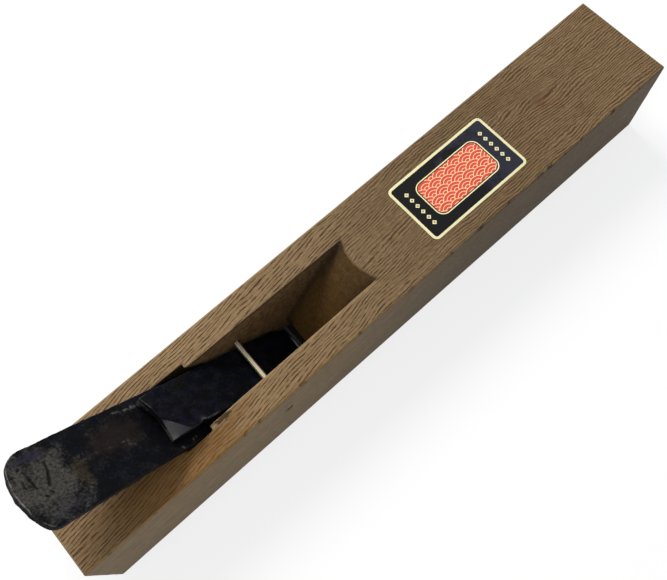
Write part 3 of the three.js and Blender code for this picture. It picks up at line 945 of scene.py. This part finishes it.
# Scores and dents in the blade's face: from s, off to s, off, then width and depth
SCORES_MM = [
    (124.2, 6.4, 124.9, 3.3, 0.6, 0.18), (124.9, 3.3, 126.9, -0.9, 0.8, 0.22),
    (131.6, 7.0, 131.0, 4.6, 0.5, 0.14), (131.1, 3.9, 131.0, 1.7, 0.7, 0.2),
    (131.0, 1.7, 130.8, -0.1, 0.6, 0.16), (133.3, 3.6, 133.9, 1.8, 0.5, 0.14),
    (133.9, 1.8, 133.4, 1.4, 0.5, 0.14), (120.7, 10.5, 118.4, 10.2, 0.5, 0.12),
    (118.4, 10.2, 117.7, 8.9, 0.5, 0.12), (117.7, 8.9, 118.8, 6.5, 0.4, 0.1),
    (127.6, -2.9, 127.2, -3.5, 0.7, 0.16), (129.7, -3.5, 129.3, -4.1, 0.7, 0.16),
    (134.5, -5.2, 134.0, -5.8, 0.6, 0.12), (132.7, 8.1, 132.2, 8.4, 0.6, 0.12),
]

# Bright scuffs where the scale has gone: from s, off to s, off, then width, and how bright
SCUFFS_MM = [
    (94.4, 11.5, 92.0, 10.6, 0.5, 0.45), (92.0, 10.6, 91.6, 9.5, 0.5, 0.4),
    (90.0, 10.1, 88.0, 10.0, 0.7, 0.9), (87.2, 10.3, 85.4, 10.1, 0.6, 0.7),
    (85.4, 10.4, 83.6, 9.8, 0.5, 0.7), (107.3, 8.3, 107.0, 8.7, 0.6, 0.45),
    (107.8, 1.7, 107.2, 1.3, 0.6, 0.5), (103.1, 0.2, 100.9, 0.3, 0.5, 0.3),
    (98.4, 0.4, 96.0, -0.2, 0.6, 0.35), (96.4, -1.6, 94.8, -2.6, 0.6, 0.35),
    (93.6, -13.0, 93.0, -13.4, 0.6, 0.6), (81.4, -12.2, 80.6, -12.5, 0.8, 0.8),
    (75.6, -11.8, 73.6, -11.6, 0.7, 0.6),
]


def strokes_at(s, off, strokes):
    """The strongest stroke's last number at each point, less toward its sides."""
    strongest = np.zeros(len(s))
    for s0, off0, s1, off1, width, strength in strokes:
        run_s, run_off = s1 - s0, off1 - off0
        share = ((s - s0) * run_s + (off - off0) * run_off) / (run_s**2 + run_off**2)
        share = np.clip(share, 0, 1)
        away = np.hypot(s - s0 - share * run_s, off - off0 - share * run_off)
        strongest = np.maximum(strongest, strength * np.exp(-((away / (width * 0.62)) ** 2)))
    return strongest


def rust_pits(local):
    """1 in small pits, which lie in loose swarms."""
    grit = lumps(local, 0.9, 71) + 0.7 * lumps(local, 0.5, 72)
    return rise(grit + 0.6 * lumps(local, 4, 73), 0.75, 1.25)


def beat_blade(local, face, pits, cuts):
    """A hammered, pitted and cut face, an uneven back and sides, and a bruised head."""
    s, off, h = (local / MM).T
    rusted = 0.35 + 0.65 * rise(s + 9 * lumps(local, 9, 70), 104, 120)
    hammered = 0.1 * lumps(local, 7, 74) + 0.05 * lumps(local, 3, 75)
    drop = face * (hammered - 0.14 * pits * rusted) - cuts - 0.05 * face
    back = rise(h, -2.2, -3.2)
    lift = back * (0.12 * lumps(local, 5, 76) + 0.06)
    head = rise(s, 134.5, 137.3)
    side = rise(np.abs(off), 11.2, 13.4) * (1 - head)
    wobble = 0.16 * lumps(local, (6, 4, 3), 77)
    wobble = wobble + 0.08 * lumps(local, 1.6, 78) - 0.12
    local[:, 2] += (drop + lift) * MM
    local[:, 1] += np.sign(off) * side * wobble * MM
    bruised = 0.22 * lumps(local, (3, 2.2, 1.4), 79) - 0.24
    local[:, 0] += head * bruised * MM
    # The step at the steel's end is drawn toward it a little
    step = rise(np.abs(s - WELD_END_MM), 0.8, 0.3) * rise(h, -1.6, -1.3)
    local[:, 0] -= step * 0.36 * MM


def shape_blade():
    mesh = even_skin("blade_iron_back", BLADE_VOXEL, 3)
    outward = get_normals(mesh) @ OUT_OF_FACE
    local = to_blade(get_points(mesh))
    s, off, h = (local / MM).T
    face = rise(h, -0.7, -0.15)
    pits = rust_pits(local)
    cuts = strokes_at(s, off, SCORES_MM) * face
    beat_blade(local, face, pits, cuts)
    set_points(mesh, from_blade(local))
    store(mesh, "pitted", face * pits)
    store(mesh, "scored", cuts / 0.12)
    endward = rise(get_normals(mesh) @ UP_THE_BLADE, 0.12, 0.3)
    rim = rise(outward, 0.4, 0.6) * rise(outward, 0.98, 0.9) * (0.1 + 0.9 * endward)
    rim = rim * rise(lumps(local, 3, 80), -0.8, 0.2)
    scuffs = strokes_at(s, off + 0.4 * lumps(local, 1.1, 81), SCUFFS_MM) * face
    scuffs = scuffs * rise(lumps(local, 0.8, 82), -0.5, 0.3)
    store(mesh, "rubbed", np.maximum(rim, scuffs))
    return thinned(mesh, BLADE_KEPT)


def beat_breaker(local, top, nick):
    """A hammered top, uneven sides and a nick in the near one."""
    off = local[:, 1] / MM
    hammered = 0.1 * lumps(local, 6, 90) + 0.04 * lumps(local, 2, 91)
    local[:, 2] += top * (hammered - 0.08) * MM
    side = rise(np.abs(off), 9.0, 10.1)
    local[:, 1] += np.sign(off) * side * (0.1 * lumps(local, 3, 92) - 0.1) * MM
    local[:, 1] += nick * 0.9 * MM
    local[:, 2] -= nick * 0.35 * top * MM


def shape_breaker():
    mesh = even_skin("chip_breaker_iron", BREAKER_VOXEL, 4)
    local = to_blade(get_points(mesh))
    s, off, h = (local / MM).T
    top = rise(get_normals(mesh) @ OUT_OF_FACE, 0.2, 0.6)
    nick_s, nick_off = s - BREAKER_NICK_MM[0], off - BREAKER_NICK_MM[1]
    nick = np.exp(-((nick_s / 1.2) ** 2) - (nick_off / 1.5) ** 2)
    beat_breaker(local, top, nick)
    set_points(mesh, from_blade(local))
    outward = get_normals(mesh) @ OUT_OF_FACE
    corner = rise(outward, 0.96, 0.9) * rise(outward, 0.45, 0.6) * rise(-off, 2, 4) * rise(s, 74, 76)
    store(mesh, "folded", corner)
    rim = rise(outward, 0.25, 0.45) * rise(outward, 0.9, 0.75)
    rim = rim * rise(lumps(local, 3, 93), -0.5, 0.5)
    tip = rise(np.hypot(s - BREAKER_TIP_MM[0], off - BREAKER_TIP_MM[1]), 2.2, 0.8) * top
    # Along the near rim: a painted highlight, broken up, stored with the wear as rubbed
    near_rim_glint = rise(-off, 9.0, 9.9) * rise(np.abs(s - 68), 6, 3) * top
    near_rim_glint = near_rim_glint * rise(lumps(local, (0.7, 0.6, 1), 95), -0.5, 0.2)
    endward = rise(get_normals(mesh) @ UP_THE_BLADE, 0.3, 0.6)
    foot = endward * rise(h, 4.5, 4.0) * rise(outward, -0.2, 0.05) * rise(outward, 0.4, 0.2)
    foot = foot * rise(lumps(local, 1.5, 94), -0.7, 0.2)
    rubs_and_glint = [rim * 0.6 * (1 - corner), nick * top, tip * 0.8, near_rim_glint * 0.7, foot * 0.5]
    store(mesh, "rubbed", np.maximum.reduce(rubs_and_glint))
    return thinned(mesh, BREAKER_KEPT)


show("blade_back", shape_blade(), forged_iron(), "blade", "forged_iron", "blade_iron_back")
show("breaker_plate", shape_breaker(), breaker_iron(), "chip_breaker", "breaker_iron", "chip_breaker_iron")
dress("blade_steel_face", blade_steel())
dress("chip_breaker_steel", breaker_steel())


# Pin

PIN_DIAMETER = 2.3 * MM
PIN_SKEW = math.radians(1.6)
PIN_SIDES = 40
PIN_RINGS = 70
# From each end of the rod: how far in, and the share of its full thickness there
PIN_END = [(0.0, 0.0), (0.0, 0.72), (0.12 * MM, 0.9), (0.3 * MM, 0.985)]


def pin_rings(length):
    """Place along the rod and radius there, from end to end."""
    radius = PIN_DIAMETER / 2
    rings = [(-length / 2 + step, share * radius) for step, share in PIN_END]
    for ring in range(PIN_RINGS):
        rings.append((length * ((ring + 0.5) / PIN_RINGS - 0.5) * 0.98, radius * 0.995))
    return rings + [(length / 2 - step, share * radius) for step, share in reversed(PIN_END)]


def shape_pin():
    """A drawn rod with filed ends, a little askew."""
    length = (pin_high.y - pin_low.y) * 0.998 - PIN_DIAMETER * math.sin(PIN_SKEW)
    middle = (pin_low + pin_high) / 2
    forward = Vector((math.sin(PIN_SKEW), math.cos(PIN_SKEW), 0))
    aside = Vector((math.cos(PIN_SKEW), -math.sin(PIN_SKEW), 0))
    up = Vector((0, 0, 1))
    built = bmesh.new()
    rings = []
    for along, radius in pin_rings(length):
        around = []
        for side in range(PIN_SIDES if radius else 1):
            turn = 2 * math.pi * side / PIN_SIDES
            swing = aside * math.cos(turn) + up * math.sin(turn)
            around.append(built.verts.new(middle + forward * along + swing * radius))
        rings.append(around)
    for first, second in zip(rings, rings[1:]):
        for side in range(PIN_SIDES):
            other = (side + 1) % PIN_SIDES
            corners = [first[side % len(first)], first[other % len(first)]]
            corners += [second[other % len(second)], second[side % len(second)]]
            built.faces.new(list(dict.fromkeys(corners)))
    mesh = closed(built, "pin")
    points = get_points(mesh)
    worn = 0.02 * lumps(points, (0.8, 3, 0.8), 100) - 0.02
    push(points, get_normals(mesh), True, worn)
    set_points(mesh, points)
    return mesh


show("steel_pin", shape_pin(), pin_steel(), "plane_body", "pin_steel", "cross_pin")


# Label

LABEL_STEPS = 12
PAPER = 0.14 * MM
# Rings of points, close to the rim and then evenly inward
RIM_INSETS = [0, 0, 0.15 * MM, 0.5 * MM, 1.2 * MM, 2.4 * MM]
INSET_STEP = 1.2 * MM
LEAST_CORNER = 0.02 * MM


def label_ring(inset):
    """Points round the label's outline, drawn in by an inset."""
    half_x = (label_high.x - label_low.x) / 2 - inset
    half_y = (label_high.y - label_low.y) / 2 - inset
    corner = max(LABEL_CORNER_MM * MM - inset, LEAST_CORNER)
    centre = (label_low + label_high) / 2
    signs = [(1, -1), (1, 1), (-1, 1), (-1, -1)]
    ring = []
    for quarter, (sign_x, sign_y) in enumerate(signs):
        middle = Vector((sign_x * (half_x - corner), sign_y * (half_y - corner)))
        for step in range(LABEL_STEPS + 1):
            turn = math.pi / 2 * (quarter - 1 + step / LABEL_STEPS)
            ring.append(centre.xy + middle + corner * Vector((math.cos(turn), math.sin(turn))))
        following = signs[(quarter + 1) % 4]
        onward = Vector((following[0] * (half_x - corner), following[1] * (half_y - corner)))
        turn = math.pi / 2 * quarter
        out = corner * Vector((math.cos(turn), math.sin(turn)))
        for step in range(1, LABEL_STEPS):
            ring.append(centre.xy + middle.lerp(onward, step / LABEL_STEPS) + out)
    return ring


def shape_label():
    """Paper, a little cockled, with an upright rim."""
    half = (label_high.y - label_low.y) / 2
    insets = list(RIM_INSETS)
    while insets[-1] + INSET_STEP < half:
        insets.append(insets[-1] + INSET_STEP)
    built = bmesh.new()
    rings = []
    for inset in insets:
        height = label_low.z + (PAPER if rings else 0.02 * MM)
        rings.append([built.verts.new((p.x, p.y, height)) for p in label_ring(inset)])
    for first, second in zip(rings, rings[1:]):
        for i in range(len(first)):
            other = (i + 1) % len(first)
            built.faces.new([first[i], first[other], second[other], second[i]])
    built.faces.new(rings[-1])
    built.faces.new(list(reversed(rings[0])))
    mesh = closed(built, "label")
    points = get_points(mesh)
    upper = points[:, 2] > label_low.z + PAPER / 2
    cockle = 0.03 * lumps(points, (9, 6, 1), 110)
    points[upper, 2] += (cockle * MM)[upper]
    set_points(mesh, points)
    return mesh


show("printed_label", shape_label(), label_paper(), "plane_body", "label_paper", "paper_label")


# Floor and surroundings

FLOOR_HALF = 30.0
FLOOR_DROP = 0.02 * MM
# How much of the floor's white is its own glow, which leaves the rest for the shadow
GLOW = 0.76
# The floor turns all white between these distances from the middle
WHITE_MM = (350, 1400)
WORLD_LIGHT = 0.36
# Colours in the shader's own terms
WHITE = (1, 1, 1, 1)
PALE = (0.95, 0.95, 0.95, 1)


def seen_directly(f):
    """1 for the camera and for what shiny metal or glass shows, 0 for light on its way."""
    rays = ["Is Camera Ray", "Is Glossy Ray", "Is Transmission Ray"]
    camera, glossy, through = [f.node("LightPath", output=ray) for ray in rays]
    return camera.most(glossy).most(through)


def floor_paper():
    """Pale paper that keeps the shadow, painted dark as shadow only under the block."""
    f = Finish("floor paper")
    x, y, _ = f.place()
    # A painted shadow under the block, where the floor is dark and has no glow
    under = abs(x).below(body_high.x / MM - 2) * abs(y).below(body_high.y / MM - 2)
    far = f.rise((x * x + y * y).root(), *WHITE_MM)
    plain = f.node("BsdfDiffuse", values={"Color": f.mix(under, PALE, (30, 28, 26))})
    glow = f.node("Emission", values={"Color": WHITE, "Strength": 1.0})
    share = seen_directly(f) * (1 - under) * (GLOW + far * (1 - GLOW))
    shader = f.node("MixShader", values={0: share, 1: plain, 2: glow})
    f.node("OutputMaterial", values={"Surface": shader})
    return f.owner


def make_floor():
    mesh = bpy.data.meshes.new("floor")
    corners = [(-1, -1), (1, -1), (1, 1), (-1, 1)]
    places = [(x * FLOOR_HALF, y * FLOOR_HALF, -FLOOR_DROP) for x, y in corners]
    mesh.from_pydata(places, [], [(0, 1, 2, 3)])
    mesh.materials.append(floor_paper())
    in_scene("floor", mesh)


def make_world():
    """Soft light from all round, white where the camera or shiny metal sees it."""
    f = Finish("studio", bpy.data.worlds)
    light = f.node("Background", values={"Color": (0.93, 0.97, 1.0, 1), "Strength": WORLD_LIGHT})
    white = f.node("Background", values={"Color": WHITE, "Strength": 1.0})
    shader = f.node("MixShader", values={0: seen_directly(f), 1: light, 2: white})
    f.node("OutputWorld", values={"Surface": shader})
    bpy.context.scene.world = f.owner


make_floor()
make_world()
bpy.context.scene.view_settings.view_transform = "Standard"
